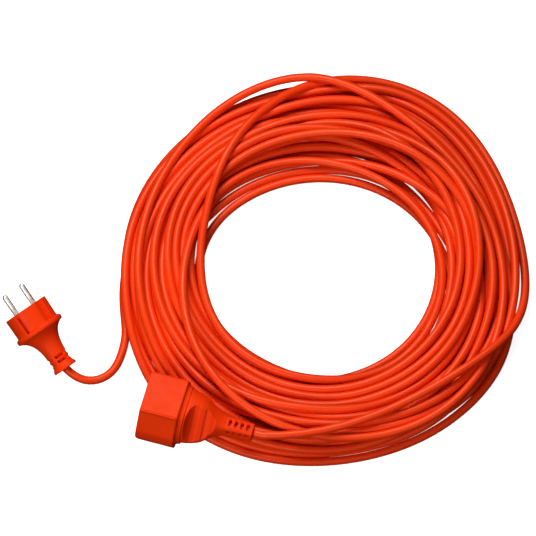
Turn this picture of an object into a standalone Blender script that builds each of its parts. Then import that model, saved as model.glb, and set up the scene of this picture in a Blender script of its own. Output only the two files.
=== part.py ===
"""An orange two-core extension lead: contour plug, hand-coiled flex and one-way coupler.

Metres, +Z up, floor at z = 0. The coupler's axis runs along +X from its mouth to its tail.
The plug and the coupler are each drawn about their own axis, local +Z, under an empty.
"""
import math

import bmesh
import bpy
from mathutils import Matrix, Vector

# Flex
CORD_RADIUS = 0.0035
CORE_RADIUS = 0.00145
STRAND_RADIUS = 0.0008
CORE_OFFSET = 0.00165
GAP = 0.0003

# Coil
COIL_CENTRE = (0.1298, 0.1343)
COIL_INNER_RADIUS = 0.088
COIL_OUTER_RADIUS = 0.162
COIL_HEIGHT = 0.029

# Plug, measured along its axis from the cord end of the collar
PLUG_TAIL = (-0.0496, -0.0019)
PLUG_HEADING = math.radians(141.3)
PLUG_ROLL = math.radians(50.4)
COLLAR_RADIUS = 0.0103
COLLAR_LENGTH = 0.0068
FLANGE_START = 0.0358
FLANGE_RADIUS = 0.02145
FLANGE_THICKNESS = 0.0050
FACE_RADIUS = 0.0193
FACE_AT = 0.059
BRIDGE_RADIUS = 0.0138
PIN_RADIUS = 0.0024
PIN_REACH = 0.019
PIN_SPACING = 0.019
PIN_ROOT = 0.0465
GROOVE_FLOOR = 0.0163

# Coupler, measured along its axis from the mouth
MOUTH = (0.0226, -0.0223, 0.0310)
SOCKET_ROLL = math.radians(-11.5)
BLOCK_LENGTH = 0.032
BLOCK_HALF_WIDTH = 0.0289
BLOCK_HALF_HEIGHT = 0.0234
BLOCK_SLANT = 0.02766
SLANT_ANGLE = math.radians(27.5)
RECESS_RADIUS = 0.01975
RECESS_DEPTH = 0.0175
NECK_END = 0.069
TAIL_AT = 0.092
CARRIER_RADIUS = 0.0167
CARRIER_THICKNESS = 0.005
PIN_HOLE_RADIUS = 0.0032
SHUTTER_HALF_WIDTH = 0.0127
SHUTTER_HALF_HEIGHT = 0.0035
SHUTTER_THICKNESS = 0.0018
SHUTTER_TRAVEL = 0.0069
CRIMP_OFFSET = 0.005

# The finger scoop's outline: distance from the coupler's axis, and height along it
SCOOP = [(0.0300, 0.0368), (0.0210, 0.0374), (0.0150, 0.0392), (0.0112, 0.0424), (0.0103, 0.0466)]
SCOOP += [(0.0114, 0.0472), (0.0106, 0.0514), (0.0094, 0.0521), (0.0092, 0.0558), (0.0102, 0.0565)]
SCOOP += [(0.0096, 0.0600), (0.0118, 0.0622), (0.0300, 0.0640)]

ORANGE = ("orange_pvc", (0.86, 0.085, 0.012), 0.42, 0.0)
CREAM = ("cream_insert", (0.78, 0.72, 0.6), 0.5, 0.0)
BROWN = ("brown_core", (0.16, 0.06, 0.025), 0.45, 0.0)
BLUE = ("blue_core", (0.03, 0.11, 0.45), 0.45, 0.0)
COPPER = ("bare_copper", (0.75, 0.35, 0.18), 0.3, 1.0)
NICKEL = ("nickel_pin", (0.72, 0.70, 0.66), 0.25, 1.0)
BRASS = ("brass_contact", (0.72, 0.52, 0.22), 0.3, 1.0)
STEEL = ("spring_steel", (0.55, 0.55, 0.56), 0.3, 1.0)

PARTS = "extension_cord"
CUTTERS = "cutters"


def clear_scene():
    for item in list(bpy.data.objects):
        bpy.data.objects.remove(item, do_unlink=True)
    for name in (PARTS, CUTTERS):
        bpy.context.scene.collection.children.link(bpy.data.collections.new(name))


def material(name, colour, roughness, metallic):
    made = bpy.data.materials.get(name)
    if made is None:
        made = bpy.data.materials.new(name)
        made.use_nodes = True
        shader = made.node_tree.nodes["Principled BSDF"]
        shader.inputs["Base Color"].default_value = (*colour, 1.0)
        shader.inputs["Roughness"].default_value = roughness
        shader.inputs["Metallic"].default_value = metallic
        made.diffuse_color = (*colour, 1.0)
    return made


def link(name, mesh, look, axis, place=None):
    """Adds a mesh object to the parts, or to the cutters when look is None."""
    made = bpy.data.objects.new(name, mesh)
    if look is None:
        bpy.data.collections[CUTTERS].objects.link(made)
        made.hide_render = True
        made.display_type = "WIRE"
    else:
        bpy.data.collections[PARTS].objects.link(made)
        mesh.materials.append(material(*look))
    made.parent = axis
    if place is not None:
        made.matrix_local = place
    return made


def turned(name, profile, look, axis, steps=32, closed=False, place=None):
    """Turns a list of (radius, height) about local Z; the outer side runs top to bottom."""
    edges = [(i, i + 1) for i in range(len(profile) - 1)]
    if closed:
        edges.append((len(profile) - 1, 0))
    mesh = bpy.data.meshes.new(name)
    mesh.from_pydata([(radius, 0.0, height) for radius, height in profile], edges, [])
    made = link(name, mesh, look, axis, place)
    screw = made.modifiers.new("turn", "SCREW")
    screw.steps = steps
    screw.render_steps = steps
    screw.use_merge_vertices = True
    screw.merge_threshold = 0.00001
    return made


def rod(name, radius, start, end, look, axis, x=0.0, y=0.0, steps=16):
    profile = [(0.0, end), (radius, end), (radius, start), (0.0, start)]
    return turned(name, profile, look, axis, steps, place=Matrix.Translation((x, y, 0.0)))


def sleeve(name, inner, outer, start, end, look, axis, x=0.0, steps=20):
    profile = [(inner, end), (outer, end), (outer, start), (inner, start)]
    return turned(name, profile, look, axis, steps, True, Matrix.Translation((x, 0.0, 0.0)))


def as_mesh(curve_object):
    """Turns a curve object into a mesh object with welded caps."""
    scene_graph = bpy.context.evaluated_depsgraph_get()
    mesh = bpy.data.meshes.new_from_object(curve_object.evaluated_get(scene_graph))
    name = curve_object.name
    bpy.data.objects.remove(curve_object, do_unlink=True)
    mesh.name = name
    return weld(mesh)


def weld(mesh):
    work = bmesh.new()
    work.from_mesh(mesh)
    bmesh.ops.remove_doubles(work, verts=work.verts, dist=0.00001)
    bmesh.ops.recalc_face_normals(work, faces=work.faces)
    work.to_mesh(mesh)
    work.free()
    return mesh


def plate(name, outline, low, high, look, axis, place=None):
    """A flat outline of (x, y) points, filled and extruded from z = low to z = high."""
    curve = bpy.data.curves.new(name, "CURVE")
    curve.dimensions = "2D"
    curve.fill_mode = "BOTH"
    curve.extrude = (high - low) / 2
    spline = curve.splines.new("POLY")
    spline.points.add(len(outline) - 1)
    for point, (x, y) in zip(spline.points, outline):
        point.co = (x, y, 0.0, 1.0)
    spline.use_cyclic_u = True
    shape = bpy.data.objects.new(name, curve)
    bpy.data.collections[PARTS].objects.link(shape)
    mesh = as_mesh(shape)
    mesh.materials.clear()
    mesh.transform(Matrix.Translation((0.0, 0.0, (low + high) / 2)))
    return link(name, mesh, look, axis, place)


def rectangle(x0, x1, y0, y1):
    return [(x0, y0), (x1, y0), (x1, y1), (x0, y1)]


def sector(inner, outer, middle, half, steps=6):
    """The outline of a ring segment centred on an angle."""
    angles = [middle - half + 2 * half * i / steps for i in range(steps + 1)]
    outside = [(outer * math.cos(a), outer * math.sin(a)) for a in angles]
    inside = [(inner * math.cos(a), inner * math.sin(a)) for a in reversed(angles)]
    return outside + inside


def combine(target, cutters, operation="DIFFERENCE"):
    for cutter in cutters:
        boolean = target.modifiers.new(cutter.name, "BOOLEAN")
        boolean.operation = operation
        boolean.solver = "EXACT"
        boolean.object = cutter


def smooth_curve(points, spacing):
    """Points at an even spacing along a Catmull-Rom curve through the given points."""
    points = [Vector(p) for p in points]
    ends = [2 * points[0] - points[1], *points, 2 * points[-1] - points[-2]]
    fine = []
    for a, b, c, d in zip(ends, ends[1:], ends[2:], ends[3:]):
        for step in range(20):
            t = step / 20
            bend = 2 * b + (c - a) * t + (2 * a - 5 * b + 4 * c - d) * t**2
            fine.append((bend + (3 * b - a - 3 * c + d) * t**3) / 2)
    fine.append(points[-1])
    length = sum((q - p).length for p, q in zip(fine, fine[1:]))
    count = max(2, round(length / spacing))
    wanted, run, result = length / count, 0.0, [fine[0]]
    for p, q in zip(fine, fine[1:]):
        run += (q - p).length
        if run >= wanted * len(result) and len(result) < count:
            result.append(q)
    result.append(fine[-1])
    return result


def tube(name, points, radius, look, axis=None, resolution=2):
    """A round wire with filled ends along a chain of points."""
    curve = bpy.data.curves.new(name, "CURVE")
    curve.dimensions = "3D"
    curve.bevel_depth = radius
    curve.bevel_resolution = resolution
    curve.use_fill_caps = True
    spline = curve.splines.new("POLY")
    spline.points.add(len(points) - 1)
    for point, where in zip(spline.points, points):
        point.co = (*where, 1.0)
    made = bpy.data.objects.new(name, curve)
    bpy.data.collections[PARTS].objects.link(made)
    curve.materials.append(material(*look))
    made.parent = axis
    return made


def empty(name, matrix):
    made = bpy.data.objects.new(name, None)
    bpy.data.collections[PARTS].objects.link(made)
    made.matrix_world = matrix
    return made


def sides():
    """The two poles: node suffix, side of the axis, and the core's colour name and look."""
    return (("left", -1, "brown", BROWN), ("right", 1, "blue", BLUE))


# ---------------------------------------------------------------- plug


def plug_matrix():
    """The plug lies on its flange and collar, so its axis slopes up towards the pins."""
    middle = FLANGE_START + FLANGE_THICKNESS / 2
    tilt = math.atan2(FLANGE_RADIUS - COLLAR_RADIUS, middle)
    height = COLLAR_RADIUS * math.cos(tilt) + 0.0001
    turn = Matrix.Rotation(PLUG_HEADING, 4, "Z") @ Matrix.Rotation(math.pi / 2 - tilt, 4, "Y")
    turn = turn @ Matrix.Rotation(math.pi + PLUG_ROLL, 4, "Z")
    return Matrix.Translation((*PLUG_TAIL, height)) @ turn


def flange_profile():
    """The flange's rounded rim, from its front face to its back face."""
    round_radius = FLANGE_THICKNESS / 2
    middle = FLANGE_START + round_radius
    points = []
    for step in range(7):
        angle = math.pi / 2 - math.pi * step / 6
        reach = FLANGE_RADIUS - round_radius + round_radius * math.cos(angle)
        points.append((reach, middle + round_radius * math.sin(angle)))
    return points


def make_plug_body(axis):
    cavity = [(0.0039, 0.0), (0.0039, 0.0145), (0.0064, 0.019), (0.0092, 0.027), (0.0125, 0.034)]
    cavity += [(BRIDGE_RADIUS + GAP, 0.042), (BRIDGE_RADIUS + GAP, FACE_AT)]
    face = [(FACE_RADIUS - 0.0005, FACE_AT), (FACE_RADIUS, FACE_AT - 0.0005)]
    bell = [(0.0172, 0.0345), (0.0142, 0.032), (0.0120, 0.0286), (0.0103, 0.024), (0.0089, 0.0155)]
    collar = [(0.0086, COLLAR_LENGTH + 0.0004), (0.0086, COLLAR_LENGTH)]
    collar += [(COLLAR_RADIUS, 0.0006), (COLLAR_RADIUS - 0.0006, 0.0)]
    body = turned(
        "plug_body", cavity + face + flange_profile() + bell + collar, ORANGE, axis, 40, True
    )
    cutters = []
    front = (FLANGE_START + FLANGE_THICKNESS - 0.0002, FACE_AT + 0.002)
    for side in (0, 1):
        slot = rectangle(-0.00135, 0.00135, GROOVE_FLOOR, FLANGE_RADIUS + 0.001)
        turn = Matrix.Rotation(math.pi * side, 4, "Z")
        cutters.append(plate(f"clip_groove_{side}", slot, *front, None, axis, turn))
        for wing in (-1, 1):
            middle = math.pi * side + wing * math.radians(22)
            wedge = sector(GROOVE_FLOOR, FLANGE_RADIUS + 0.002, middle, math.radians(11))
            cutters.append(plate(f"guide_recess_{side}_{wing}", wedge, *front, None, axis))
    for quarter in range(4):
        arc = sector(0.0060, 0.012, math.pi * (0.25 + 0.5 * quarter), math.radians(34))
        for row in (0, 1):
            low = 0.0073 + 0.0042 * row
            name = f"neck_slot_{quarter}_{row}"
            cutters.append(plate(name, arc, low, low + 0.0022, None, axis))
    combine(body, cutters)


def make_plug_insides(axis):
    holes = []
    half = PIN_SPACING / 2
    bridge = turned(
        "plug_bridge",
        [
            (0.0, FACE_AT - 0.0002),
            (BRIDGE_RADIUS, FACE_AT - 0.0002),
            (BRIDGE_RADIUS, 0.051),
            (0.0128, 0.0505),
            (0.0128, 0.0475),
            (0.0, 0.0475),
        ],
        CREAM,
        axis,
        36,
    )
    for side, sign, colour, look in sides():
        x = sign * half
        holes.append(rod(f"pin_seat_{side}", PIN_RADIUS + GAP, 0.04, 0.07, None, axis, x, steps=20))
        tip = FACE_AT + PIN_REACH
        profile = [(0.0, tip)]
        for step in range(1, 5):
            angle = math.pi / 2 * step / 4
            profile.append((PIN_RADIUS * math.sin(angle), tip - PIN_RADIUS * (1 - math.cos(angle))))
        profile += [(PIN_RADIUS, PIN_ROOT), (0.0, PIN_ROOT)]
        place = Matrix.Translation((x, 0.0, 0.0))
        turned(f"plug_pin_{side}", profile, NICKEL, axis, 24, place=place)
        sleeve(f"plug_crimp_{side}", 0.0011, 0.0019, 0.0405, PIN_ROOT - GAP, BRASS, axis, x)
        rod(f"plug_strands_{side}", STRAND_RADIUS, 0.0385, 0.0445, COPPER, axis, x, steps=10)
        start = Vector((sign * CORE_OFFSET, 0.0, 0.0145))
        end = Vector((x, 0.0, 0.0382))
        route = [start, start + Vector((sign * 0.0004, 0, 0.005)), (start + end) / 2]
        route += [end - Vector((sign * 0.0005, 0, 0.006)), end]
        tube(f"plug_core_{colour}", smooth_curve(route, 0.003), CORE_RADIUS, look, axis, 1)
    combine(bridge, holes)
    rod("plug_sheath_end", CORD_RADIUS, 0.001, 0.0142, ORANGE, axis, steps=24)


# ------------------------------------------------------------- coupler


def socket_matrix():
    base = Matrix(((0, 0, 1, 0), (1, 0, 0, 0), (0, 1, 0, 0), (0, 0, 0, 1)))
    return Matrix.Translation(MOUTH) @ base @ Matrix.Rotation(SOCKET_ROLL, 4, "Z")


def block_radius(angle, sharpness=36):
    """How far the block's rounded octagon reaches at an angle about the axis."""
    faces = [(0.0, BLOCK_HALF_WIDTH), (math.pi / 2, BLOCK_HALF_HEIGHT)]
    faces += [(math.pi / 2 - s * (math.pi / 2 - SLANT_ANGLE), BLOCK_SLANT) for s in (-1, 1)]
    total = 0.0
    for direction, distance in faces:
        total += (abs(math.cos(angle - direction)) / distance) ** sharpness
    return total ** (-1 / sharpness)


def oval_radius(angle, half_width, half_height, squareness):
    across = (abs(math.cos(angle)) / half_width) ** squareness
    upright = (abs(math.sin(angle)) / half_height) ** squareness
    return (across + upright) ** (-1 / squareness)


def housing_stations(grow=0.0):
    """Sections along the axis: height, share of the block's shape, size, oval sizes, squareness."""
    rows = [
        (0.0, 1.0, 0.975, 0.0274, 0.0234, 2.6),
        (0.0008, 1.0, 1.0, 0.0274, 0.0234, 2.6),
        (0.0306, 1.0, 1.0, 0.0274, 0.0234, 2.6),
        (0.0318, 1.0, 0.975, 0.0274, 0.0234, 2.6),
        (BLOCK_LENGTH, 0.6, 0.88, 0.0242, 0.0215, 2.8),
        (0.0345, 0.5, 0.85, 0.0230, 0.0207, 2.7),
        (0.0377, 0.35, 0.80, 0.0213, 0.0198, 2.6),
        (0.0415, 0.2, 0.78, 0.0207, 0.0193, 2.5),
        (0.0450, 0.1, 0.76, 0.0201, 0.0188, 2.4),
        (0.0485, 0.0, 0.7, 0.0189, 0.0180, 2.4),
        (0.0520, 0.0, 0.6, 0.0172, 0.0166, 2.4),
        (0.0550, 0.0, 0.6, 0.0149, 0.0147, 2.4),
        (0.0580, 0.0, 0.5, 0.0124, 0.0125, 2.4),
        (0.0615, 0.0, 0.4, 0.0102, 0.0104, 2.6),
        (0.0655, 0.0, 0.4, 0.0084, 0.0084, 3.0),
        (NECK_END, 0.0, 0.3, 0.0073, 0.0073, 4.0),
        (TAIL_AT - 0.0006, 0.0, 0.3, 0.0063, 0.0063, 4.5),
        (TAIL_AT, 0.0, 0.3, 0.0058, 0.0058, 4.5),
    ]
    sections = []
    for height, share, size, half_width, half_height, squareness in rows:
        ring = []
        for step in range(48):
            angle = 2 * math.pi * (step + 0.5) / 48
            reach = share * size * block_radius(angle)
            reach += (1 - share) * oval_radius(angle, half_width, half_height, squareness)
            reach += grow
            ring.append((reach * math.cos(angle), reach * math.sin(angle), height))
        sections.append(ring)
    return sections


def loft(name, sections, look, axis):
    """Joins sections of equal point counts with side faces and closes both ends."""
    count = len(sections[0])
    faces = [tuple(reversed(range(count)))]
    for row in range(len(sections) - 1):
        for i in range(count):
            a = row * count + i
            b = row * count + (i + 1) % count
            faces.append((a, b, b + count, a + count))
    last = (len(sections) - 1) * count
    faces.append(tuple(range(last, last + count)))
    mesh = bpy.data.meshes.new(name)
    mesh.from_pydata([p for ring in sections for p in ring], [], faces)
    return link(name, mesh, look, axis)


def make_housing(axis):
    housing = loft("socket_housing", housing_stations(), ORANGE, axis)
    cavity = [(0.0, 0.095), (0.0039, 0.095), (0.0039, 0.068), (0.0058, 0.062), (0.0080, 0.042)]
    cavity += [(0.0125, 0.0372), (CARRIER_RADIUS + GAP, 0.0306)]
    cavity += [(CARRIER_RADIUS + GAP, RECESS_DEPTH), (RECESS_RADIUS, RECESS_DEPTH)]
    cavity += [(RECESS_RADIUS, -0.003), (0.0, -0.003)]
    cutters = [turned("socket_cavity", cavity, None, axis, 44)]
    for side in (0, 1):
        half_turn = Matrix.Rotation(math.pi * side, 4, "Z")
        slope = Matrix.Rotation(math.radians(140), 4, "Z") @ Matrix.Rotation(math.pi / 2, 4, "X")
        place = half_turn @ slope
        cutters.append(plate(f"grip_scoop_{side}", SCOOP, -0.04, 0.04, None, axis, place))
        for row in range(4):
            low = NECK_END + 0.0022 + 0.0050 * row
            wide = rectangle(-0.0031, 0.0031, 0.0047, 0.012)
            cutters.append(
                plate(f"top_slot_{side}_{row}", wide, low, low + 0.0025, None, axis, half_turn)
            )
            narrow = rectangle(-0.012, -0.0047, -0.0002, 0.0034)
            cutters.append(
                plate(f"side_slot_{side}_{row}", narrow, low, low + 0.0025, None, axis, half_turn)
            )
    combine(housing, cutters)


def make_contact_block(axis):
    """The insert behind the pin holes: front disc, sprung shutter, back block and contacts."""
    half = PIN_SPACING / 2
    front = RECESS_DEPTH
    back = front + CARRIER_THICKNESS
    holes = []
    for side, sign, _, _ in sides():
        name = f"pin_hole_{side}"
        holes.append(rod(name, PIN_HOLE_RADIUS, 0.01, 0.04, None, axis, sign * half, steps=28))
    combine(rod("contact_carrier", CARRIER_RADIUS, front, back, CREAM, axis, steps=44), holes)

    pocket_floor = back + GAP + 0.0025
    block = rod("carrier_back", CARRIER_RADIUS, back + GAP, 0.0302, CREAM, axis, steps=44)
    wide = SHUTTER_HALF_WIDTH + GAP
    low = -SHUTTER_HALF_HEIGHT - GAP
    high = SHUTTER_HALF_HEIGHT + SHUTTER_TRAVEL + GAP
    track = plate("shutter_track", rectangle(-wide, wide, low, high), 0.02, pocket_floor, None, axis)
    well = plate(
        "spring_well", rectangle(-0.0016, 0.0016, 0.005, 0.0148), 0.02, pocket_floor, None, axis
    )
    seats = []
    for side, sign, _, _ in sides():
        name = f"contact_seat_{side}"
        seats.append(rod(name, 0.0036, 0.01, 0.04, None, axis, sign * half, steps=24))
    combine(block, [track, well, *seats])

    shutter_low = back + GAP + 0.0003
    outline = rectangle(
        -SHUTTER_HALF_WIDTH, SHUTTER_HALF_WIDTH, -SHUTTER_HALF_HEIGHT, SHUTTER_HALF_HEIGHT
    )
    plate("shutter", outline, shutter_low, shutter_low + SHUTTER_THICKNESS, CREAM, axis)

    turns, start, end = 7, SHUTTER_HALF_HEIGHT + 0.0005, 0.0145
    middle = shutter_low + SHUTTER_THICKNESS / 2
    helix = []
    for step in range(turns * 10 + 1):
        angle = 2 * math.pi * step / 10
        along = start + (end - start) * step / (turns * 10)
        helix.append((0.00085 * math.cos(angle), along, middle + 0.00085 * math.sin(angle)))
    tube("shutter_spring", helix, 0.00018, STEEL, axis, 1)


def make_contacts(axis):
    half = PIN_SPACING / 2
    for side, sign, colour, look in sides():
        x = sign * half
        contact = sleeve(f"contact_{side}", 0.00255, 0.0033, 0.0262, 0.0325, BRASS, axis, x)
        tab = rectangle(*sorted((sign * 0.0036, sign * 0.0068)), -0.0009, 0.0009)
        tail = plate(f"contact_tail_{side}", tab, 0.0312, 0.0325, None, axis)
        combine(contact, [tail], "UNION")
        gap = rectangle(*sorted((sign * (half + 0.001), sign * (half + 0.005))), -0.0003, 0.0003)
        combine(contact, [plate(f"contact_split_{side}", gap, 0.02, 0.0318, None, axis)])
        bend = sign * CRIMP_OFFSET
        sleeve(f"socket_crimp_{side}", 0.0011, 0.0018, 0.0328, 0.0385, BRASS, axis, bend)
        rod(f"socket_strands_{side}", STRAND_RADIUS, 0.034, 0.0405, COPPER, axis, bend, steps=10)
        start = Vector((bend, 0.0, 0.0408))
        end = Vector((sign * CORE_OFFSET, 0.0, 0.0606))
        route = [start, start + Vector((0, 0, 0.004)), (start + end) / 2]
        route += [end - Vector((0, 0, 0.004)), end]
        tube(f"socket_core_{colour}", smooth_curve(route, 0.003), CORE_RADIUS, look, axis, 1)
    rod("socket_sheath_end", CORD_RADIUS, 0.061, TAIL_AT - 0.001, ORANGE, axis, steps=24)


# ---------------------------------------------------------------- flex


def cord_routes(plug_axis, socket_axis):
    """The two uncoiled stretches, each from its connector to the coil."""
    plug_route = [
        plug_axis @ Vector((0, 0, -GAP)),
        (-0.0437, -0.0050, 0.0080),
        (-0.0356, -0.0067, 0.0058),
        (-0.0272, -0.0053, 0.0042),
        (-0.0199, -0.0013, 0.0037),
        (-0.0142, 0.0048, 0.0036),
        (-0.0109, 0.0124, 0.0036),
        (-0.0099, 0.0210, 0.0036),
        (-0.0098, 0.0316, 0.0036),
        (-0.0113, 0.0444, 0.0036),
        (-0.0163, 0.0550, 0.0036),
    ]
    tail = socket_axis @ Vector((0, 0, TAIL_AT + GAP))
    behind = socket_axis @ Vector((0, 0, TAIL_AT + 0.010))
    socket_route = [
        tail,
        behind,
        (0.1523, -0.0153, 0.0340),
        (0.1821, 0.0002, 0.0360),
        (0.2107, 0.0199, 0.0375),
        (0.2363, 0.0441, 0.0375),
        (0.2536, 0.0619, 0.0365),
        (0.2698, 0.0802, 0.0345),
        (0.2821, 0.0979, 0.0320),
        (0.2933, 0.1155, 0.0270),
        (0.3010, 0.1374, 0.0200),
        (0.3015, 0.1632, 0.0120),
        (0.2960, 0.1804, 0.0070),
        (0.2875, 0.1914, 0.0046),
    ]
    return plug_route, socket_route


def make_coil(socket_axis):
    """The hank's outer shape, a domed ring, cut clear of the coupler that lies over its edge."""
    width = COIL_OUTER_RADIUS - COIL_INNER_RADIUS
    profile = [(COIL_INNER_RADIUS + 0.003, 0.0), (COIL_INNER_RADIUS, 0.003)]
    for step in range(11):
        across = step / 10
        dome = (4 * across * (1 - across)) ** 0.45
        profile.append((COIL_INNER_RADIUS + width * across, 0.008 + (COIL_HEIGHT - 0.008) * dome))
    profile += [(COIL_OUTER_RADIUS, 0.003), (COIL_OUTER_RADIUS - 0.003, 0.0)]
    place = Matrix.Translation((*COIL_CENTRE, 0.0))
    coil = turned("cord_coil", profile, ORANGE, None, 60, True, place)
    clearance = loft("coupler_clearance", housing_stations(0.0012), None, socket_axis)
    combine(coil, [clearance])


def build():
    clear_scene()
    plug_axis = empty("plug_axis", plug_matrix())
    socket_axis = empty("socket_axis", socket_matrix())
    make_plug_body(plug_axis)
    make_plug_insides(plug_axis)
    make_housing(socket_axis)
    make_contact_block(socket_axis)
    make_contacts(socket_axis)
    make_coil(socket_axis)
    plug_route, socket_route = cord_routes(plug_matrix(), socket_matrix())
    tube("cord_lead_plug", smooth_curve(plug_route, 0.009), CORD_RADIUS, ORANGE)
    tube("cord_lead_socket", smooth_curve(socket_route, 0.012), CORD_RADIUS, ORANGE)


build()
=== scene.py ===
"""Looks of the orange extension lead: camera, light, coiled flex, moulded ends and materials."""

import math

import bmesh
import bpy
import numpy as np
from mathutils import Matrix, Vector


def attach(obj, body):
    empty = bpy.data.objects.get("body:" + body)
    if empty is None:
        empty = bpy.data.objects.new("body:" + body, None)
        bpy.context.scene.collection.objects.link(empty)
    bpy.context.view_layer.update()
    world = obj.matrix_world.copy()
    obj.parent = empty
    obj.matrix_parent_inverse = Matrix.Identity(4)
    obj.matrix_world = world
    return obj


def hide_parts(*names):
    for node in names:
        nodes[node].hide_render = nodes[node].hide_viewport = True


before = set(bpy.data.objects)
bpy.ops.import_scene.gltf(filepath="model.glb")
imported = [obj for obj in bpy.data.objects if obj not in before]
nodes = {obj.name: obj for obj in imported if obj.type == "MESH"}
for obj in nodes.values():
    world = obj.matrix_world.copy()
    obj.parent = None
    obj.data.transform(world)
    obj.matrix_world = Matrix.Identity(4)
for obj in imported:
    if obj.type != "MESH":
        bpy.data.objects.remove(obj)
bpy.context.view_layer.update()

# Flex, in metres. Strands that touch lie TOUCH apart between their centrelines.
CORD = 0.0070
TOUCH = 0.00712
FULL_LENGTH = 25.0
# Spacing of the points that settle, and of the rings of the finished tube
NODE_SPACING = 0.0052
RING_SPACING = 0.0032
COIL_CENTRE = (0.1298, 0.1343)

# Layout of the two ends, as in the CAD
PLUG_TAIL = (-0.0496, -0.0019)
PLUG_HEADING = math.radians(141.3)
PLUG_ROLL = math.radians(50.4)
COLLAR_RADIUS = 0.0103
FLANGE_START = 0.0358
FLANGE_RADIUS = 0.02145
FLANGE_THICKNESS = 0.0050
FACE_RADIUS = 0.0193
FACE_AT = 0.059
BRIDGE_RADIUS = 0.0138
GROOVE_FLOOR = 0.0163
PIN_RADIUS = 0.0024
PIN_REACH = 0.019
PIN_SPACING = 0.019
PIN_ROOT = 0.0465
MOUTH = (0.0226, -0.0223, 0.0310)
SOCKET_ROLL = math.radians(-11.5)
BLOCK_LENGTH = 0.032
BLOCK_HALF_WIDTH = 0.0289
BLOCK_HALF_HEIGHT = 0.0234
BLOCK_SLANT = 0.02766
SLANT_ANGLE = math.radians(27.5)
RECESS_RADIUS = 0.01975
RECESS_DEPTH = 0.0175
CARRIER_RADIUS = 0.0167
NECK_END = 0.069
TAIL_AT = 0.092
GAP = 0.0003

# The plug's guide recesses, and its neck slots in two rows
GUIDE_AT = math.radians(22)
GUIDE_HALF_ANGLE = math.radians(11)
NECK_SLOTS_START = 0.0066
NECK_SLOT_PITCH = 0.0042
NECK_SLOT_WIDTH = 0.0023
NECK_SLOT_FLOOR = 0.0050
NECK_SLOT_HALF_ANGLE = math.radians(34)
# The coupler's tail slots, in four rows from the end of the taper
TAIL_SLOTS_MARGIN = 0.0022
TAIL_SLOT_PITCH = 0.0050
TAIL_SLOT_WIDTH = 0.0025
# Points round one section of the coupler, and how sharp its octagon's corners are
SECTION_POINTS = 192
OCTAGON_SHARPNESS = 72
# Grain of the remeshed shells, the passes that round their edges, and the share of faces kept
PLUG_VOXEL = 0.00032
COUPLER_VOXEL = 0.00036
EDGE_PASSES = 3
FACES_KEPT = 0.5

# Camera. VIEW_WIDTH is the width seen at the point looked at.
LOOK_AT = Vector((0.0855, 0.1294, 0.0))
AZIMUTH = math.radians(15.3)
ELEVATION = math.radians(70.0)
DISTANCE = 9.0
VIEW_WIDTH = 0.4395

# Light
FLOOR_GLOW = 0.80
FLOOR_HALF_WIDTH = 4.0
WORLD_STRENGTH = 0.02


def aim_camera():
    lens = bpy.data.cameras.new("camera")
    lens.sensor_width = 36.0
    lens.lens = 36.0 * DISTANCE / VIEW_WIDTH
    camera = bpy.data.objects.new("camera", lens)
    bpy.context.scene.collection.objects.link(camera)
    away = Vector((math.sin(AZIMUTH), -math.cos(AZIMUTH), 0.0)) * math.cos(ELEVATION)
    away.z = math.sin(ELEVATION)
    camera.location = LOOK_AT + away * DISTANCE
    camera.rotation_euler = (-away).to_track_quat("-Z", "Y").to_euler()
    bpy.context.scene.camera = camera


def area_light(name, place, target, size, power):
    data = bpy.data.lights.new(name, "AREA")
    data.shape = "RECTANGLE"
    data.size, data.size_y = size
    data.energy = power
    made = bpy.data.objects.new(name, data)
    bpy.context.scene.collection.objects.link(made)
    made.location = place
    made.rotation_euler = (Vector(target) - Vector(place)).to_track_quat("-Z", "Y").to_euler()


# ------------------------------------------------------------------ materials


def add_node(tree, kind, **inputs):
    """Adds a shader node; keyword names are its input sockets, with _ for a space."""
    made = tree.nodes.new(kind)
    for name, value in inputs.items():
        socket = made.inputs[name.replace("_", " ")]
        if isinstance(value, bpy.types.NodeSocket):
            tree.links.new(value, socket)
        else:
            socket.default_value = value
    return made


def blank(name, **uniform):
    """A material with a Principled shader; uniform values go straight on its sockets."""
    made = bpy.data.materials.new(name)
    made.use_nodes = True
    shader = made.node_tree.nodes["Principled BSDF"]
    for socket, value in uniform.items():
        shader.inputs[socket.replace("_", " ")].default_value = value
    return made, made.node_tree, shader


def stretched(tree, output, scale):
    place = add_node(tree, "ShaderNodeTexCoord")
    return add_node(tree, "ShaderNodeMapping", Vector=place.outputs[output], Scale=scale).outputs[0]


def noise(tree, vector, scale, detail=3.0, roughness=0.5):
    made = add_node(
        tree, "ShaderNodeTexNoise", Vector=vector, Scale=scale, Detail=detail, Roughness=roughness
    )
    return made.outputs["Fac"]


def spread(tree, value, low, high):
    """Maps a noise value's usual range to low..high."""
    made = add_node(tree, "ShaderNodeMapRange", Value=value)
    for name, number in (("From Min", 0.3), ("From Max", 0.7), ("To Min", low), ("To Max", high)):
        made.inputs[name].default_value = number
    return made.outputs["Result"]


def two_tone(tree, shader, value, first, second):
    ramp = add_node(tree, "ShaderNodeValToRGB", Fac=value)
    ramp.color_ramp.elements[0].position = 0.3
    ramp.color_ramp.elements[0].color = (*first, 1.0)
    ramp.color_ramp.elements[1].position = 0.7
    ramp.color_ramp.elements[1].color = (*second, 1.0)
    tree.links.new(ramp.outputs["Color"], shader.inputs["Base Color"])


def relief(tree, shader, layers):
    """Stacks bumps: (height socket, strength, depth in metres)."""
    normal = None
    for height, strength, depth in layers:
        made = add_node(tree, "ShaderNodeBump", Height=height, Strength=strength, Distance=depth)
        if normal:
            tree.links.new(normal, made.inputs["Normal"])
        normal = made.outputs["Normal"]
    tree.links.new(normal, shader.inputs["Normal"])


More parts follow.
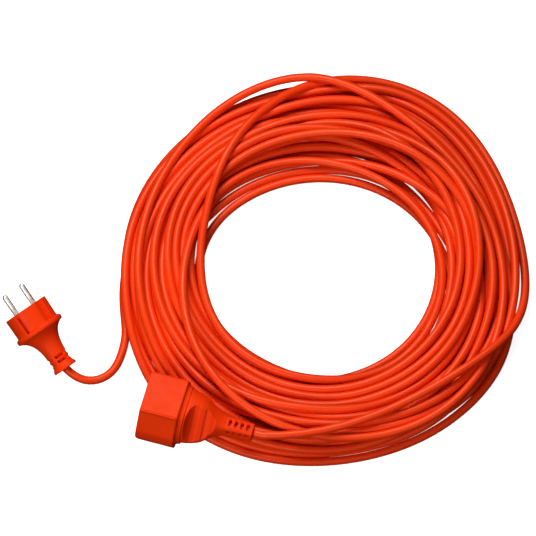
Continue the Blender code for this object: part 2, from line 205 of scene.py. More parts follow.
def soft_pvc(name, ior):
    """Soft orange PVC before its own grain: slightly translucent, with tinted highlights."""
    made, tree, shader = blank(name, IOR=ior, Subsurface_Weight=0.03, Subsurface_Scale=0.002)
    shader.inputs["Specular Tint"].default_value = (1.0, 0.62, 0.40, 1.0)
    shader.inputs["Subsurface Radius"].default_value = (1.0, 0.25, 0.05)
    return made, tree, shader


def flex_material():
    """Extruded soft PVC: satin, with faint streaks along the flex and slow changes of shade."""
    made, tree, shader = soft_pvc("flex_pvc", 1.43)
    whole = stretched(tree, "Object", (1, 1, 1))
    along = stretched(tree, "UV", (9, 14, 1))
    broad = noise(tree, whole, 14, 2)
    fine = noise(tree, whole, 900, 2)
    streaks = noise(tree, along, 3.0, 4)
    two_tone(tree, shader, broad, (0.80, 0.035, 0.0026), (0.87, 0.046, 0.0040))
    tree.links.new(spread(tree, streaks, 0.30, 0.45), shader.inputs["Roughness"])
    relief(tree, shader, [(streaks, 0.25, 0.0002), (fine, 0.12, 0.00005)])
    return made


def moulded_material():
    """Moulded soft PVC with a fine spark-eroded grain."""
    made, tree, shader = soft_pvc("moulded_pvc", 1.26)
    whole = stretched(tree, "Object", (1, 1, 1))
    broad = noise(tree, whole, 35, 3)
    grain = noise(tree, whole, 1500, 3, 0.6)
    flow = noise(tree, whole, 120, 4)
    two_tone(tree, shader, broad, (0.81, 0.032, 0.0012), (0.87, 0.040, 0.0020))
    tree.links.new(spread(tree, flow, 0.38, 0.52), shader.inputs["Roughness"])
    relief(tree, shader, [(flow, 0.10, 0.0002), (grain, 0.22, 0.00006)])
    return made


def hard_plastic(name, first, second, roughness, speck):
    made, tree, shader = blank(name, IOR=1.52)
    whole = stretched(tree, "Object", (1, 1, 1))
    broad = noise(tree, whole, 60, 3)
    grain = noise(tree, whole, speck, 3, 0.6)
    two_tone(tree, shader, broad, first, second)
    tree.links.new(spread(tree, grain, roughness - 0.06, roughness + 0.06), shader.inputs["Roughness"])
    relief(tree, shader, [(grain, 0.15, 0.00005)])
    return made


def metal(name, first, second, roughness, grain_scale):
    """Bare or plated metal with drawn or turned marks and slight tarnish."""
    made, tree, shader = blank(name, Metallic=1.0)
    whole = stretched(tree, "Object", (1, 1, 1))
    marks = noise(tree, stretched(tree, "Object", grain_scale), 1.0, 4)
    tarnish = noise(tree, whole, 220, 4, 0.6)
    two_tone(tree, shader, tarnish, first, second)
    tree.links.new(spread(tree, marks, roughness - 0.07, roughness + 0.09), shader.inputs["Roughness"])
    relief(tree, shader, [(marks, 0.08, 0.00003)])
    return made


def floor_material():
    made, tree, shader = blank("floor_white", Emission_Strength=FLOOR_GLOW)
    shader.inputs["Emission Color"].default_value = (1.0, 1.0, 1.0, 1.0)
    broad = noise(tree, stretched(tree, "Object", (1, 1, 1)), 3, 3)
    two_tone(tree, shader, broad, (0.90, 0.90, 0.90), (0.93, 0.93, 0.93))
    tree.links.new(spread(tree, broad, 0.75, 0.85), shader.inputs["Roughness"])
    return made


def link(mesh, look, body, slot, *replaced):
    """Shows a mesh as a piece of the object, in place of CAD nodes."""
    made = bpy.data.objects.new(mesh.name, mesh)
    bpy.context.scene.collection.objects.link(made)
    mesh.materials.clear()
    mesh.materials.append(look)
    for face in mesh.polygons:
        face.use_smooth = True
    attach(made, body)
    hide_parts(*replaced)
    return made


# ------------------------------------------------------------------ flex
#
# Angles run anticlockwise from +X about the coil's centre, in degrees. The flex is laid clockwise,
# from the plug to the coupler. Its place across the band is a share: 0 at the inner edge, 1 at the
# outer edge.

# The band's edges: angle, and radius in mm
BAND_OUTER = [(0, 172), (15, 162), (30, 151), (45, 164), (60, 177), (75, 186), (90, 173), (105, 165)]
BAND_OUTER += [(120, 157), (135, 155), (150, 155), (165, 157), (180, 162), (210, 158), (240, 165)]
BAND_OUTER += [(255, 172), (270, 172), (285, 158), (300, 152), (315, 170), (335, 186), (350, 188)]
BAND_INNER = [(0, 104), (30, 99), (60, 93), (100, 91), (130, 102), (150, 113), (165, 119), (200, 114)]
BAND_INNER += [(225, 101), (240, 95), (270, 97), (300, 97), (330, 95)]
TURNS = 29
FIRST_ANGLE = 208.7
LEAD_ANGLE = 23.3
LEAD_END = -96
STEPS_PER_TURN = 360
SEED = 6
# Each turn's place in the band moves on from the one before by the golden section of its width,
# counted from PLACES_START. The first turn alone lies at FIRST_PLACE.
GOLDEN_STEP = 0.381966
PLACES_START = 0.90
FIRST_PLACE = 0.98
PLACE_JITTER = 0.04
# How far a turn strays from its place, as a share of the band, and how often in a turn
WANDER = 0.07
WANDERS_PER_TURN = 2.5
# The part of a turn over which a set stretch takes over from the loose lay
EASE = 0.22
# Steps to either side over which the radii are smoothed
BLEND_STEPS = 13

# Stretches that leave the loose lay of their turn: (angle, radius in mm), clockwise.
# The turns are counted back from the last one.
LATE_STRETCHES = {
    0: [(205, 104), (192, 102.5), (182, 102), (172, 103), (163, 105), (148, 114), (136, 130),
        (124, 150), (118, 156), (106, 164), (97, 166), (84, 177), (74, 184), (64, 183), (54, 172),
        (36, 155), (28, 154), (23.3, 157)],
    1: [(200, 112), (180, 113), (165, 112), (146, 108), (133, 105), (114, 101), (99, 97), (80, 94),
        (57, 93), (39, 97), (20, 103), (0, 106), (-25, 103), (-50, 101), (-80, 99), (-110, 100),
        (-135, 102), (-150, 104)],
    2: [(230, 153), (205, 152), (180, 153), (160, 151), (148, 150), (140, 154), (134, 161),
        (128, 169), (120, 176), (112, 174), (105, 168), (97, 157), (78, 142), (55, 137),
        (38, 140.6), (23, 147.5), (5, 153), (-20, 157), (-45, 153), (-70, 148), (-95, 141),
        (-120, 132), (-145, 121), (-158, 114)],
}
# The turns are counted from the first one.
EARLY_STRETCHES = {
    0: [(208.7, 165.8), (202, 164), (190, 159), (175, 155), (160, 150)],
    2: [(180, 110), (166, 105), (151, 97), (134, 90), (118, 85), (95, 84), (72, 90), (54, 97),
        (38, 102), (20, 107)],
    4: [(125, 94), (110, 91), (95, 91), (72, 96), (54, 101), (38, 104), (25, 105), (10, 103),
        (0, 101), (-12, 98), (-20, 97), (-35, 98), (-50, 100)],
}
# The last turn passes under the one laid two turns before it at TUCK_ANGLE. It dips within TUCK_SPAN
# degrees of there, where the two are less than TUCK_REACH thicknesses apart.
TUCK_ANGLE = 103
TUCK_SPAN = 40
TUCK_REACH = 1.9
# The last turn's way over the band to the coupler: angle and radius, in millimetres
OVER_THE_BAND = [(23.3, 157), (15.6, 167), (9.1, 173.5), (0.8, 171.4), (-6.6, 164.6)]
OVER_THE_BAND += [(-13.4, 155.5), (-20.9, 149.7), (-30, 142.6), (-40, 139), (-54.6, 139.4)]
OVER_THE_BAND += [(-61.8, 140.6), (-68.7, 143.5), (-73.6, 146.9), (-78.4, 150.5), (-82.9, 154.2)]
OVER_THE_BAND += [(-87.3, 157.1), (-91.7, 158.8), (-96, 157.6)]

# The first heap: its smoothing's reach along the flex and rounds, and the share of height kept
HEAP_REACH = 14
HEAP_ROUNDS = 2
HEAP_SHRINK = 0.5

# Settling: its rounds, the fall in the first of them, and the pull towards each point's own lay
ROUNDS = 600
FALL = 0.0002
PULL = 0.025
# Gravity and the pull fade to nothing by this share of the rounds.
FADE = 0.9
# Touching pairs are searched for every few rounds and parted several times in each.
ROUNDS_PER_SEARCH = 4
SWEEPS = 3
SEARCH_REACH = 1.5 * CORD
# A point pushed by several neighbours moves by at most this many of their mean pushes.
SHARED_PUSH = 1.5
# The share of a step's excess length that is taken off at each of its ends
LENGTH_SHARE = 0.45
# Stiffness: how far along the flex a bend is spread, in nodes, and how strongly
STIFFNESS = ((1, 0.05), (3, 0.05), (6, 0.02))
# Turns come down as they settle, so lengths at rest are taken on a path with its heights reduced.
HEIGHT_IN_LENGTH = 0.35
# Nodes of the flex beside the plug that lie still, clear of the coil
HELD_AT_PLUG = 30
# Nodes of the last three turns, which are laid as listed, and how much more they keep to their lay
LATE_NODES = 520
LATE_PULL = 5
# Nodes beside the coupler that keep their pull to the end
LAST_NODES = 60
# Points left out beside the joins of coil and leads, so that the path bends smoothly there
PLUG_JOIN = 6
COUPLER_JOIN = 8

# The flex from the plug to the coil
PLUG_ROUTE = [
    (-0.0437, -0.0050, 0.0080),
    (-0.0356, -0.0067, 0.0058),
    (-0.0272, -0.0053, 0.0042),
    (-0.0199, -0.0013, 0.0037),
    (-0.0142, 0.0048, 0.0036),
    (-0.0109, 0.0124, 0.0036),
    (-0.0099, 0.0210, 0.0036),
    (-0.0098, 0.0316, 0.0036),
    (-0.0113, 0.0444, 0.0036),
    (-0.0163, 0.0550, 0.0036),
]


def through(points, steps=20):
    """A Catmull-Rom curve through the points."""
    p = np.array([2 * np.array(points[0]) - points[1], *points, 2 * np.array(points[-1]) - points[-2]])
    a, b, c, d = (p[k : len(p) - 3 + k, None] for k in range(4))
    t = np.linspace(0.0, 1.0, steps, endpoint=False)[None, :, None]
    bend = 2 * b + (c - a) * t + (2 * a - 5 * b + 4 * c - d) * t**2
    curve = (bend + (3 * b - a - 3 * c + d) * t**3) / 2
    return np.concatenate([curve.reshape(-1, p.shape[1]), p[-2:-1]])


def lengths(path):
    """The distance along a path to each of its points."""
    return np.concatenate([[0.0], np.cumsum(np.linalg.norm(np.diff(path, axis=0), axis=1))])


def evenly(path, count):
    """The same path with count evenly spaced points."""
    along = lengths(path)
    wanted = np.linspace(0.0, along[-1], count)
    return np.stack([np.interp(wanted, along, path[:, k]) for k in range(3)], axis=1)


def eased(x, xs, ys):
    """Interpolates a table with an S-shaped ease between its rows."""
    xs, ys = np.array(xs, dtype=float), np.array(ys, dtype=float)
    i = np.clip(np.searchsorted(xs, x) - 1, 0, len(xs) - 2)
    u = np.clip((x - xs[i]) / (xs[i + 1] - xs[i]), 0.0, 1.0)
    return ys[i] + (ys[i + 1] - ys[i]) * u * u * (3 - 2 * u)


def edge(angle, table):
    """An edge of the band at each angle, in metres."""
    xs = [a + turn for turn in (-360, 0, 360) for a, _ in table]
    return eased(np.mod(angle, 360.0), xs, [r for _, r in table] * 3) / 1000


def drift(values, t):
    """A smooth random line through values, one for each whole t."""
    i = np.clip(t.astype(int), 1, len(values) - 3)
    f = t - i
    a, b, c, d = (values[i + k] for k in (-1, 0, 1, 2))
    bend = 2 * b + (c - a) * f + (2 * a - 5 * b + 4 * c - d) * f**2
    return (bend + (3 * b - a - 3 * c + d) * f**3) / 2


def lay_radii():
    """Where each turn lies: turn number, angle and radius along the whole coil."""
    random = np.random.default_rng(SEED)
    turns = TURNS + (FIRST_ANGLE - LEAD_ANGLE) / 360
    t = np.arange(0.0, turns, 1 / STEPS_PER_TURN)
    angle = FIRST_ANGLE - 360 * t
    count = TURNS + 5
    jitter = random.normal(0, PLACE_JITTER, count)
    places = np.mod(PLACES_START - GOLDEN_STEP * np.arange(count) + jitter, 1.0)
    places[0] = FIRST_PLACE
    share = drift(0.03 + 0.94 * np.concatenate([places[:1], places]), t + 1)
    strays = random.normal(0, WANDER, int(turns * WANDERS_PER_TURN) + 8)
    share += drift(strays, t * WANDERS_PER_TURN + 1)
    inner = edge(angle, BAND_INNER) + CORD / 2
    outer = edge(angle, BAND_OUTER) - CORD / 2
    radius = inner + (outer - inner) * share
    tables = list(EARLY_STRETCHES.items())
    for k, rows in LATE_STRETCHES.items():
        tables.append((math.floor(turns - (FIRST_ANGLE - rows[0][0]) / 360 % 1) - k, rows))
    for turn, rows in tables:
        first = turn + (FIRST_ANGLE - rows[0][0]) / 360 % 1
        at = [first + (rows[0][0] - a) / 360 for a, _ in rows]
        enter = np.clip((t - at[0]) / EASE + 1, 0, 1)
        leave = np.clip((at[-1] - t) / EASE + 1, 0, 1)
        weight = enter * enter * (3 - 2 * enter) * leave * leave * (3 - 2 * leave)
        stretch = through([(p, r / 1000) for p, (_, r) in zip(at, rows)])
        radius += weight * (np.interp(t, stretch[:, 0], stretch[:, 1]) - radius)
    lead = through([(a, r / 1000) for a, r in OVER_THE_BAND])
    lead_angle = np.arange(LEAD_ANGLE, lead[-1, 0], -360 / STEPS_PER_TURN)[1:]
    lead_radius = np.interp(-lead_angle, -lead[:, 0], lead[:, 1])
    lead_angle += angle[-1] - LEAD_ANGLE
    radius = np.concatenate([radius, lead_radius])
    window = np.hanning(2 * BLEND_STEPS + 1)
    radius = np.convolve(np.pad(radius, BLEND_STEPS, mode="edge"), window / window.sum(), "valid")
    return np.concatenate([angle, lead_angle]), radius


def heap(radius):
    """The height at which each turn comes to lie on those laid before it."""
    height = np.zeros_like(radius)
    turns = math.ceil(len(radius) / STEPS_PER_TURN)
    laid = np.full((turns, 2, STEPS_PER_TURN), np.nan)
    window = np.hanning(2 * HEAP_REACH + 1)
    window /= window.sum()
    for turn in range(turns):
        low = turn * STEPS_PER_TURN
        here = radius[low : low + STEPS_PER_TURN]
        size = len(here)
        apart = np.abs(here - laid[:turn, 0, :size])
        rise = laid[:turn, 1, :size] + np.sqrt(np.maximum(0.0, TOUCH**2 - apart**2))
        rise = np.where(apart < TOUCH, rise, 0.0)
        support = np.fmax.reduce(rise, axis=0) if turn else np.zeros(size)
        support = np.maximum(support, CORD / 2)
        before = height[max(0, low - HEAP_REACH) : low] if low else np.full(HEAP_REACH, CORD / 2)
        smooth = support
        for _ in range(HEAP_ROUNDS):
            row = np.concatenate([before, smooth, np.full(HEAP_REACH, smooth[-1])])
            smooth = (np.maximum(support, np.convolve(row, window, "valid")) + smooth) / 2
        height[low : low + size] = smooth
        laid[turn, 0, :size] = here
        laid[turn, 1, :size] = smooth
    return height


def tuck(angle, radius, height):
    """Passes the last turn under the outer loop laid two turns before it, where they cross."""
    last = np.flatnonzero(np.abs(angle - angle[-1] + LEAD_END - TUCK_ANGLE) < TUCK_SPAN)
    before = last - 2 * STEPS_PER_TURN
    near = np.clip(TUCK_REACH - np.abs(radius[last] - radius[before]) / TOUCH, 0, 1)
    near = near * near * (3 - 2 * near)
    low = np.minimum(height[last], height[before])
    high = np.maximum(height[last], height[before])
    height[last] += near * (low - height[last])
    height[before] += near * (np.maximum(high, low + TOUCH) - height[before])


def near_pairs(points, reach, skip):
    """Pairs of points closer than reach and more than skip apart along the flex."""
    cell = np.floor(points / reach).astype(np.int64)
    cell -= cell.min(axis=0) - 1
    size = cell.max(axis=0) + 2
    key = (cell[:, 0] * size[1] + cell[:, 1]) * size[2] + cell[:, 2]
    order = np.argsort(key, kind="stable")
    ranked = key[order]
    everyone = np.arange(len(points))
    firsts, seconds = [], []
    offsets = [(dx * size[1] + dy) * size[2] + dz
               for dx in (-1, 0, 1) for dy in (-1, 0, 1) for dz in (-1, 0, 1)]
    for offset in offsets:
        if offset < 0:
            continue
        low = np.searchsorted(ranked, key + offset, "left")
        count = np.searchsorted(ranked, key + offset, "right") - low
        first = np.repeat(everyone, count)
        inside = np.arange(len(first)) - np.repeat(np.cumsum(count) - count, count)
        second = order[np.repeat(low, count) + inside]
        keep = np.abs(first - second) > skip
        if offset == 0:
            keep &= first < second
        first, second = first[keep], second[keep]
        close = np.sum((points[first] - points[second]) ** 2, axis=1) < reach * reach
        firsts.append(first[close])
        seconds.append(second[close])
    return np.concatenate(firsts), np.concatenate(seconds)


def part_touching(points, first, second):
    """Moves points that are nearer than one cord's thickness apart."""
    gap = points[first] - points[second]
    distance = np.linalg.norm(gap, axis=1) + 1e-12
    close = distance < TOUCH
    first, second = first[close], second[close]
    shift = gap[close] * ((TOUCH - distance[close]) / distance[close] / 2)[:, None]
    size = len(points)
    hits = np.bincount(first, minlength=size) + np.bincount(second, minlength=size)
    share = SHARED_PUSH / np.maximum(SHARED_PUSH, hits)
    for k in range(3):
        move = np.bincount(first, shift[:, k], size) - np.bincount(second, shift[:, k], size)
        points[:, k] += move * share


def keep_length(points, rest):
    """Brings each step along the flex back towards its own length."""
    step = np.diff(points, axis=0)
    size = np.linalg.norm(step, axis=1) + 1e-12
    pull = step * ((size - rest) / size * LENGTH_SHARE)[:, None]
    points[:-1] += pull
    points[1:] -= pull


def stiffen(points, span, strength):
    """Spreads bends out along the flex, as its stiffness does."""
    bend = strength * (points[: -2 * span] - 2 * points[span:-span] + points[2 * span :])
    points[: -2 * span] -= bend
    points[span:-span] += 2 * bend
    points[2 * span :] -= bend


def clear_of_coupler(points):
    """Keeps the flex outside the coupler, which lies over the coil's edge.

    The coupler is taken as ovals along its axis, with half-sizes in mm.
    """
    at = [-0.002, 0.0, 0.032, 0.034, 0.045, 0.052, 0.058, 0.0655, 0.069, 0.092, 0.094]
    wide = [0.0, 27.4, 27.4, 23.0, 20.1, 17.2, 12.4, 8.4, 7.3, 6.0, 0.0]
    high = [0.0, 23.4, 23.4, 20.7, 18.8, 16.6, 12.5, 8.4, 7.3, 6.0, 0.0]
    along = points[:, 0] - MOUTH[0]
    inside = np.flatnonzero((along > -CORD / 2) & (along < TAIL_AT - 0.001))
    if len(inside) == 0:
        return
    spot = points[inside]
    clear = CORD / 2 + GAP
    half_width = np.interp(along[inside], at, wide) / 1000 + clear
    half_height = np.interp(along[inside], at, high) / 1000 + clear
    y = spot[:, 1] - MOUTH[1]
    z = spot[:, 2] - MOUTH[2]
    depth = (np.abs(y / half_width) ** 2.6 + np.abs(z / half_height) ** 2.6) ** (1 / 2.6)
    out = np.where(depth < 1, 1 / np.maximum(depth, 0.2), 1.0)
    below = MOUTH[2] + z * out < CORD / 2
    sideways = np.where(below, out, 1 + (out - 1) / 2)
    points[inside, 1] = MOUTH[1] + y * sideways
    points[inside, 2] = np.maximum(MOUTH[2] + z * out, CORD / 2)


def settle(points, rest, rounds):
    """Lets the laid flex fall under its weight until its turns rest on each other."""
    target = points[:, :2].copy()
    ends = np.array([*range(HELD_AT_PLUG), -2, -1])
    held = points[ends].copy()
    skip = math.ceil(1.7 * CORD / rest.mean())
    kept = np.zeros((len(points), 1))
    kept[-LAST_NODES:] = 1.0
    eager = np.ones((len(points), 1))
    eager[-LATE_NODES:] = LATE_PULL
    for step in range(rounds):
        slack = max(0.0, 1.0 - step / (FADE * rounds))
        points[:, 2] -= FALL * slack
        points[:, :2] += PULL * np.maximum(slack * eager, kept) * (target - points[:, :2])
        if step % ROUNDS_PER_SEARCH == 0:
            first, second = near_pairs(points, SEARCH_REACH, skip)
        for _ in range(SWEEPS):
            part_touching(points, first, second)
            keep_length(points, rest)
            np.maximum(points[:, 2], CORD / 2, out=points[:, 2])
            clear_of_coupler(points)
            points[ends] = held
        for span, strength in STIFFNESS:
            stiffen(points, span, strength)
        points[ends] = held
    return points


def flex_path(plug_axis, coupler_axis):
    """The flex's centreline from the plug's collar to the coupler's tail, at its full length."""
    angle, radius = lay_radii()
    height = heap(radius) * HEAP_SHRINK
    tuck(angle, radius, height)
    turn = np.radians(angle)
    coil = np.stack([COIL_CENTRE[0] + radius * np.cos(turn),
                     COIL_CENTRE[1] + radius * np.sin(turn), height], axis=1)
    plug_end = plug_axis @ Vector((0, 0, 0.0006))
    coupler_end = [coupler_axis @ Vector((0, 0, TAIL_AT + z)) for z in (0.012, -0.0006)]
    start = through([plug_end, *PLUG_ROUTE])[:-PLUG_JOIN]
    finish = through([coil[-COUPLER_JOIN], *coupler_end])[COUPLER_JOIN // 2 :]
    path = np.concatenate([start, coil[PLUG_JOIN:-COUPLER_JOIN], finish])
    count = round(FULL_LENGTH / NODE_SPACING) + 1
    points = evenly(path, count)
    points[:, 2] = np.maximum(points[:, 2], CORD / 2)
    for part in [slice(1, -2)] * 3 + [slice(-80, -2)] * 14:
        points[part] = (np.roll(points, 1, 0) + 2 * points + np.roll(points, -1, 0))[part] / 4
    flat = points * (1.0, 1.0, HEIGHT_IN_LENGTH)
    rest = np.linalg.norm(np.diff(flat, axis=0), axis=1)
    return settle(points, rest, ROUNDS)


def swept(name, path, sides=12):
    """A round tube along a path, with closed ends and the distance along it as a UV map."""
    along = lengths(path)
    forward = np.gradient(path, axis=0)
    forward /= np.linalg.norm(forward, axis=1, keepdims=True)
    across = np.cross(forward, (0.0, 0.0, 1.0))
    across /= np.linalg.norm(across, axis=1, keepdims=True)
    upward = np.cross(across, forward)
    turn = 2 * math.pi * np.arange(sides) / sides - math.pi / 2
    around = across[:, None] * np.cos(turn)[:, None] + upward[:, None] * np.sin(turn)[:, None]
    points = (path[:, None] + around * CORD / 2).reshape(-1, 3)
    rings = len(path)
    i, j = np.meshgrid(np.arange(rings - 1) * sides, np.arange(sides), indexing="ij")
    k = (j + 1) % sides
    faces = np.stack([i + j, i + k, i + k + sides, i + j + sides], axis=2).reshape(-1, 4)
    mesh = bpy.data.meshes.new(name)
    caps = [list(reversed(range(sides))), list(range((rings - 1) * sides, rings * sides))]
    mesh.from_pydata(points.tolist(), [], [*faces.tolist(), *caps])
    layer = mesh.uv_layers.new(name="along")
    ring = faces // sides
    places = np.stack([np.stack([j, j + 1, j + 1, j], axis=2).reshape(-1, 4) / sides, along[ring]], axis=2)
    uv = np.zeros((len(layer.data), 2))
    uv[: faces.size] = places.reshape(-1, 2)
    layer.data.foreach_set("uv", uv.ravel())
    return mesh


# ------------------------------------------------------------------ moulded ends


def plug_matrix():
    """The plug lies on its flange and collar, so its axis slopes up towards the pins."""
    middle = FLANGE_START + FLANGE_THICKNESS / 2
    tilt = math.atan2(FLANGE_RADIUS - COLLAR_RADIUS, middle)
    height = COLLAR_RADIUS * math.cos(tilt) + 0.0001
    turn = Matrix.Rotation(PLUG_HEADING, 4, "Z") @ Matrix.Rotation(math.pi / 2 - tilt, 4, "Y")
    turn = turn @ Matrix.Rotation(math.pi + PLUG_ROLL, 4, "Z")
    return Matrix.Translation((*PLUG_TAIL, height)) @ turn


def socket_matrix():
    base = Matrix(((0, 0, 1, 0), (1, 0, 0, 0), (0, 1, 0, 0), (0, 0, 0, 1)))
    return Matrix.Translation(MOUTH) @ base @ Matrix.Rotation(SOCKET_ROLL, 4, "Z")


def grid_mesh(name, rings, closed):
    """Joins rings of equal point counts into a tube or, closed on itself, a torus-like shell."""
    rows, count = len(rings), len(rings[0])
    faces = []
    for row in range(rows if closed else rows - 1):
        low, high = row * count, (row + 1) % rows * count
        faces += [(low + i, low + (i + 1) % count, high + (i + 1) % count, high + i) for i in range(count)]
    if not closed:
        faces += [tuple(reversed(range(count))), tuple(range((rows - 1) * count, rows * count))]
    mesh = bpy.data.meshes.new(name)
    mesh.from_pydata([tuple(p) for ring in rings for p in ring], [], faces)
    shell = bmesh.new()
    shell.from_mesh(mesh)
    bmesh.ops.recalc_face_normals(shell, faces=shell.faces)
    shell.to_mesh(mesh)
    shell.free()
    return mesh


def turned(name, profile, steps=96, closed=False, place=None):
    """Turns a list of (radius, height) about local Z."""
    angles = [2 * math.pi * i / steps for i in range(steps)]
    rings = [[(max(r, 1e-5) * math.cos(a), max(r, 1e-5) * math.sin(a), z) for a in angles]
             for r, z in profile]
    mesh = grid_mesh(name, rings, closed)
    if place:
        mesh.transform(place)
    return mesh


def block(name, outline, low, high, place=None):
    """An outline of (x, y) points between two heights."""
    mesh = grid_mesh(name, [[(x, y, z) for x, y in outline] for z in (low, high)], False)
    if place:
        mesh.transform(place)
    return mesh


def rectangle(x0, x1, y0, y1):
    return [(x0, y0), (x1, y0), (x1, y1), (x0, y1)]


def sector(inner, outer, middle, half, steps=16):
    """The outline of a ring segment; inner may differ at its two ends, for a slanting floor."""
    angles = [middle - half + 2 * half * i / steps for i in range(steps + 1)]
    first, last = inner
    outside = [(outer * math.cos(a), outer * math.sin(a)) for a in angles]
    inside = []
    for i, a in enumerate(angles):
        reach = first + (last - first) * i / steps
        inside.append((reach * math.cos(a), reach * math.sin(a)))
    return outside + inside[::-1]


def moulded(name, base, cut, added, voxel, axis):
    """Cuts and joins the pieces, then rounds every edge as a mould does."""
    piece = bpy.data.objects.new(name, base)
    bpy.context.scene.collection.objects.link(piece)
    helpers = []
    for mesh, operation in [(m, "DIFFERENCE") for m in cut] + [(m, "UNION") for m in added]:
        helper = bpy.data.objects.new(mesh.name, mesh)
        bpy.context.scene.collection.objects.link(helper)
        helpers.append(helper)
        boolean = piece.modifiers.new(mesh.name, "BOOLEAN")
        boolean.operation = operation
        boolean.solver = "EXACT"
        boolean.object = helper
    remesh = piece.modifiers.new("skin", "REMESH")
    remesh.mode = "VOXEL"
    remesh.voxel_size = voxel
    remesh.adaptivity = 0.0
    smooth = piece.modifiers.new("edges", "SMOOTH")
    smooth.factor = 0.5
    smooth.iterations = EDGE_PASSES
    thin = piece.modifiers.new("thin", "DECIMATE")
    thin.ratio = FACES_KEPT
    mesh = bpy.data.meshes.new_from_object(piece.evaluated_get(bpy.context.evaluated_depsgraph_get()))
    for helper in [piece, *helpers]:
        bpy.data.objects.remove(helper, do_unlink=True)
    mesh.name = name
    mesh.transform(axis)
    return mesh


def plug_shell(axis):
    """The moulded body: two-pole contour front, thumb flange, trumpet and slotted neck."""
    bore = [(0.0039, 0.0), (0.0039, 0.0145), (0.0064, 0.019), (0.0092, 0.027), (0.0125, 0.034)]
    bore += [(BRIDGE_RADIUS + GAP, 0.042), (BRIDGE_RADIUS + GAP, FACE_AT)]
    front = [(FACE_RADIUS - 0.0002, FACE_AT), (FACE_RADIUS, FACE_AT - 0.0002)]
    rim = FLANGE_THICKNESS / 2
    middle = FLANGE_START + rim
    flange = []
    for step in range(17):
        angle = math.pi * (0.5 - step / 16)
        out = math.copysign(abs(math.cos(angle)) ** 0.8, math.cos(angle))
        along = math.copysign(abs(math.sin(angle)) ** 0.8, math.sin(angle))
        flange.append((FLANGE_RADIUS - rim + rim * out, middle + rim * along))
    trumpet = [(0.0178, 0.0350), (0.0160, 0.0338), (0.0142, 0.0320), (0.0124, 0.0294)]
    trumpet += [(0.0110, 0.0264), (0.0099, 0.0226), (0.0091, 0.0180), (0.0088, 0.0145)]
    collar = [(0.0087, 0.0078), (0.0086, 0.0064), (0.0089, 0.0045), (0.0096, 0.0030)]
    collar += [(0.0102, 0.0022), (COLLAR_RADIUS, 0.0014), (COLLAR_RADIUS, 0.0004), (0.0099, 0.0)]
    trumpet = [tuple(p) for p in through(trumpet, 6)]
    collar = [tuple(p) for p in through(collar, 4)]
    body = turned("plug_shell", bore + front + flange + trumpet + collar, 144, True)
    cut = []
    low, high = FLANGE_START + FLANGE_THICKNESS - 0.0002, FACE_AT + 0.002
    for side in (0, 1):
        slot = rectangle(-0.0016, 0.0016, GROOVE_FLOOR - 0.0012, FLANGE_RADIUS + 0.001)
        cut.append(block(f"clip_{side}", slot, low, high, Matrix.Rotation(math.pi * side, 4, "Z")))
        for wing in (-1, 1):
            at = math.pi * side + wing * GUIDE_AT
            floor = (GROOVE_FLOOR + 0.0022, GROOVE_FLOOR - 0.0006)[::-wing]
            wedge = sector(floor, FLANGE_RADIUS + 0.002, at, GUIDE_HALF_ANGLE)
            cut.append(block(f"guide_{side}_{wing}", wedge, low, high))
    for quarter in range(4):
        for row in range(2):
            start = NECK_SLOTS_START + NECK_SLOT_PITCH * row
            at = math.pi * (0.25 + 0.5 * quarter)
            arc = sector((NECK_SLOT_FLOOR, NECK_SLOT_FLOOR), 0.012, at, NECK_SLOT_HALF_ANGLE)
            cut.append(block(f"neck_{quarter}_{row}", arc, start, start + NECK_SLOT_WIDTH))
    return moulded("plug_shell", body, cut, [], PLUG_VOXEL, axis)


# The finger scoop's outline: distance from the coupler's axis, and height along it
SCOOP = [(0.0300, 0.0368), (0.0210, 0.0374), (0.0150, 0.0392), (0.0112, 0.0424), (0.0103, 0.0466)]
SCOOP += [(0.0114, 0.0472), (0.0106, 0.0514), (0.0094, 0.0521), (0.0092, 0.0558), (0.0102, 0.0565)]
SCOOP += [(0.0096, 0.0600), (0.0118, 0.0622), (0.0300, 0.0640)]


def coupler_ring(height, share, size, half_width, half_height, squareness):
    """One section of the coupler: a rounded octagon shared with an oval."""
    faces = [(0.0, BLOCK_HALF_WIDTH), (math.pi / 2, BLOCK_HALF_HEIGHT)]
    faces += [(math.pi / 2 - s * (math.pi / 2 - SLANT_ANGLE), BLOCK_SLANT) for s in (-1, 1)]
    angle = 2 * math.pi * (np.arange(SECTION_POINTS) + 0.5) / SECTION_POINTS
    octagon = sum((np.abs(np.cos(angle - turn)) / reach) ** OCTAGON_SHARPNESS for turn, reach in faces)
    octagon = octagon ** (-1 / OCTAGON_SHARPNESS)
    oval = (np.abs(np.cos(angle)) / half_width) ** squareness
    oval = (oval + (np.abs(np.sin(angle)) / half_height) ** squareness) ** (-1 / squareness)
    reach = share * size * octagon + (1 - share) * oval
    level = np.full(SECTION_POINTS, height)
    return np.stack([reach * np.cos(angle), reach * np.sin(angle), level], axis=1)


